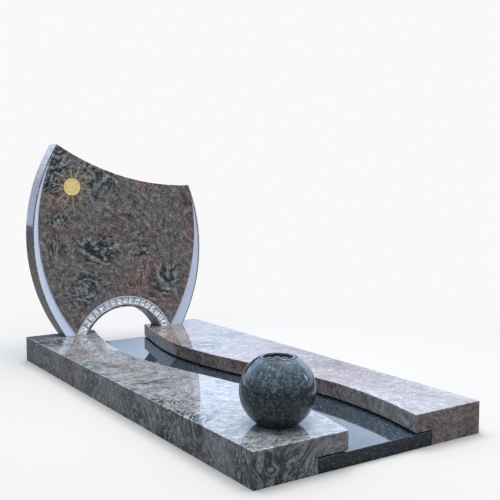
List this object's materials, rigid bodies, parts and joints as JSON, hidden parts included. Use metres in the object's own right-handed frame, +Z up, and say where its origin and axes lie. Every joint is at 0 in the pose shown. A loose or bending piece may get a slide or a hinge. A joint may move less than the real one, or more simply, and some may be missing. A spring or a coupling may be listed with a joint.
{
  "type": "headstone with grave cover and vase",
  "caption": "Polished granite grave cover with a winding sunken path, an arched headstone with matt crescents and a gilded sun, and a ball vase.",
  "frame": {"origin": "on the ground under the middle of the grave cover, which is the middle of the box's underside", "axes": "+Z up, +Y from the foot end to the headstone, +X to the right of a person at the foot end who looks at the headstone"},
  "size_m": [0.95, 2, 1.0533],
  "materials": {
    "multicolour_granite": "polished, grey and violet with rust and cream flecks in wavy grain",
    "dark_granite": "polished, green-black with small pale flecks",
    "headstone_granite": "polished, with honed pale crescents, a hewn band round the arch and a gilded sun",
    "vase_granite": "polished, green-black with pale green and blue flecks",
    "holder_metal": "dull dark metal with bright hole edges"
  },
  "bodies": {
    "root": {"left_block": "multicolour_granite", "right_block": "multicolour_granite", "centre_slab": "dark_granite", "headstone": "headstone_granite", "ball_vase": "vase_granite", "flower_holder": "holder_metal"}
  },
  "joints": []
}
